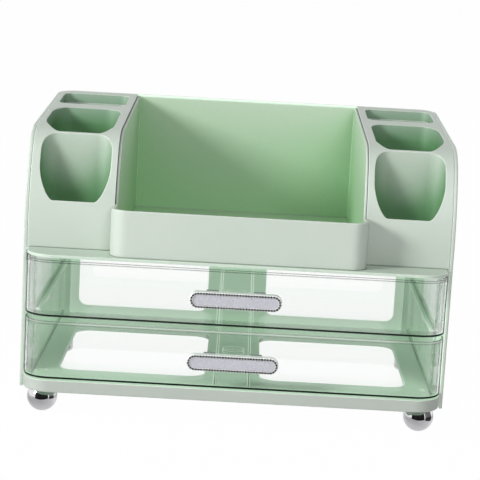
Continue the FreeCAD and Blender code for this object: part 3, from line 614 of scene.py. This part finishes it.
def add_round_row(name, centre_z, sides, layers, material, body):
    """A row of equal turned pieces in front of a handle, each a stack of (radius, reach) rings."""
    mesh = bmesh.new()
    towards_eye = Matrix.Rotation(math.radians(90.0), 4, "X")
    for x, z in stone_places():
        place = Matrix.Translation(Vector((x, handle_front_y, centre_z + z))) @ towards_eye
        for (low_radius, low_reach), (high_radius, high_reach) in zip(layers, layers[1:]):
            middle = Matrix.Translation(Vector((0.0, 0.0, (low_reach + high_reach) / 2)))
            bmesh.ops.create_cone(
                mesh, cap_ends=True, segments=sides, radius1=low_radius, radius2=high_radius,
                depth=high_reach - low_reach, matrix=place @ middle)
    row = put_mesh(name, mesh, material)
    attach(row, body)
    return row


# Each layer is a ring: its radius, and how far it stands before the handle
setting_layers = [(1.1 * mm, -0.1 * mm), (1.05 * mm, 0.3 * mm), (0.95 * mm, 0.42 * mm)]
stone_layers = [(0.86 * mm, 0.3 * mm), (0.84 * mm, 0.6 * mm), (0.62 * mm, 0.85 * mm)]
for level in ("lower", "upper"):
    low_corner, high_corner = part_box(level + "_handle_body")
    handle_z = (low_corner[2] + high_corner[2]) / 2
    body_name = level + "_drawer_body"
    settings = add_round_row(
        level + "_stone_settings", handle_z, 12, setting_layers, slot_materials["handle_silver"], body_name)
    stones = add_round_row(
        level + "_stones", handle_z, 8, stone_layers, slot_materials["cut_stone"], body_name)
    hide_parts(level + "_handle_stones")


# Stage, lamps and camera

def make_floor():
    """A pale floor that fades to white for the eye and keeps a soft shadow."""
    material, tree, shader, output = new_material("pale_floor")
    cloud = add_node(tree, "ShaderNodeTexNoise", Vector=object_place(tree), Scale=3.0, Detail=2.0)
    link(tree, mix_colours(tree, cloud.outputs["Fac"], grey(0.88), grey(0.90)), shader.inputs["Base Color"])
    shader.inputs["Roughness"].default_value = 0.8
    glow = add_node(tree, "ShaderNodeEmission", Strength=1.0).outputs["Emission"]
    light_path = add_node(tree, "ShaderNodeLightPath").outputs
    seen = maths(tree, "MAXIMUM", light_path["Is Camera Ray"], light_path["Is Transmission Ray"])
    faded = blend_shaders(tree, product(tree, seen, 0.985), shader.outputs["BSDF"], glow)
    link(tree, faded, output.inputs["Surface"])
    mesh = bmesh.new()
    bmesh.ops.create_grid(mesh, x_segments=8, y_segments=8, size=60.0)
    floor = put_mesh("floor", mesh, material)
    floor.visible_glossy = False


def make_flag(name, width, height, place, turn, shade):
    """A dark card that only reflections and clear parts see, as a photographer sets for dark edges."""
    material, tree, shader, _ = new_material(name + "_cloth")
    cloud = add_node(tree, "ShaderNodeTexNoise", Scale=8.0, Detail=2.0)
    cloth = mix_colours(tree, cloud.outputs["Fac"], grey(shade), grey(shade * 1.6))
    link(tree, cloth, shader.inputs["Base Color"])
    shader.inputs["Roughness"].default_value = 1.0
    upright = Matrix.Rotation(turn, 4, "Z") @ Matrix.Rotation(math.pi / 2, 4, "X")
    spread = Matrix.Diagonal((width, height, 1.0, 1.0))
    mesh = bmesh.new()
    bmesh.ops.create_grid(
        mesh, x_segments=4, y_segments=4, size=0.5,
        matrix=Matrix.Translation(Vector(place)) @ upright @ spread)
    flag = put_mesh(name, mesh, material)
    flag.visible_camera = False
    flag.visible_diffuse = False
    flag.visible_shadow = False


def make_under_card():
    """A pale grey card that only reflections see, in place of the floor."""
    material, tree, _, output = new_material("under_card_cloth")
    cloud = add_node(tree, "ShaderNodeTexNoise", Scale=4.0, Detail=2.0)
    patches = stretch(tree, cloud.outputs["Fac"], 0.35, 0.65, 0.0, 1.0)
    cloth = mix_colours(tree, patches, rgb(0.45, 0.45, 0.46), rgb(0.80, 0.80, 0.81))
    glow = add_node(tree, "ShaderNodeEmission", Color=cloth)
    link(tree, glow.outputs["Emission"], output.inputs["Surface"])
    mesh = bmesh.new()
    bmesh.ops.create_grid(
        mesh, x_segments=4, y_segments=4, size=6.0, matrix=Matrix.Translation((0.0, 0.0, -0.5)))
    card = put_mesh("under_card", mesh, material)
    card.visible_camera = False
    card.visible_diffuse = False
    card.visible_transmission = False
    card.visible_shadow = False


def make_world():
    """White background, with a plain grey level for lighting the object."""
    world = bpy.data.worlds.new("studio")
    world.use_nodes = True
    bpy.context.scene.world = world
    tree = world.node_tree
    tree.nodes.clear()
    output = tree.nodes.new("ShaderNodeOutputWorld")
    backdrop = add_node(tree, "ShaderNodeBackground", Color=grey(1.0), Strength=1.0)
    dim = add_node(tree, "ShaderNodeBackground", Color=grey(1.0), Strength=0.17)
    light_path = add_node(tree, "ShaderNodeLightPath").outputs
    seen = strongest(tree, [
        light_path["Is Camera Ray"], light_path["Is Transmission Ray"], light_path["Is Glossy Ray"]])
    both = blend_shaders(tree, seen, dim.outputs["Background"], backdrop.outputs["Background"])
    link(tree, both, output.inputs["Surface"])


def make_lamp(name, place, target, size, power):
    """A soft square lamp that faces a point."""
    lamp_data = bpy.data.lights.new(name, "AREA")
    lamp_data.shape = "SQUARE"
    lamp_data.size = size
    lamp_data.energy = power
    lamp = bpy.data.objects.new(name, lamp_data)
    lamp.location = place
    aim = Vector(target) - Vector(place)
    lamp.rotation_euler = aim.to_track_quat("-Z", "Y").to_euler()
    bpy.context.scene.collection.objects.link(lamp)


def make_camera():
    """The camera of the photograph, as fitted to the object."""
    yaw, pitch, roll = -0.0018, 0.1849, 0.0550
    focal_pixels = 1619.3
    picture_pixels = 480.0
    place = Vector((3.0 * mm, drawer_front_y - 1261.8 * mm, 393.8 * mm))
    forward = Vector((
        math.sin(yaw) * math.cos(pitch), math.cos(yaw) * math.cos(pitch), -math.sin(pitch)))
    level_right = Vector((math.cos(yaw), -math.sin(yaw), 0.0))
    level_up = level_right.cross(forward)
    right = math.cos(roll) * level_right + math.sin(roll) * level_up
    up = -math.sin(roll) * level_right + math.cos(roll) * level_up
    camera_data = bpy.data.cameras.new("camera")
    camera_data.sensor_width = 36.0
    camera_data.lens = focal_pixels / picture_pixels * camera_data.sensor_width
    camera = bpy.data.objects.new("camera", camera_data)
    turn = Matrix((right, up, -forward)).transposed().to_4x4()
    camera.matrix_world = Matrix.Translation(place) @ turn
    bpy.context.scene.collection.objects.link(camera)
    bpy.context.scene.camera = camera


make_floor()
make_world()
make_under_card()
make_flag("front_flag", 2.2, 1.3, (-0.05, -1.0, 0.35), 0.0, 0.012)
make_flag("right_flag", 0.9, 1.0, (0.9, -0.25, 0.2), math.pi / 2, 0.1)
make_lamp("key_lamp", (-2.3, -1.45, 1.2), (0.0, 0.0, 0.12), 0.7, 84.0)
make_lamp("front_lamp", (0.55, -1.9, 1.2), (0.0, 0.0, 0.10), 0.8, 19.0)
make_lamp("back_lamp", (1.6, 2.1, 1.3), (0.0, 0.0, 0.12), 1.0, 12.0)
make_camera()
bpy.context.scene.view_settings.view_transform = "Standard"
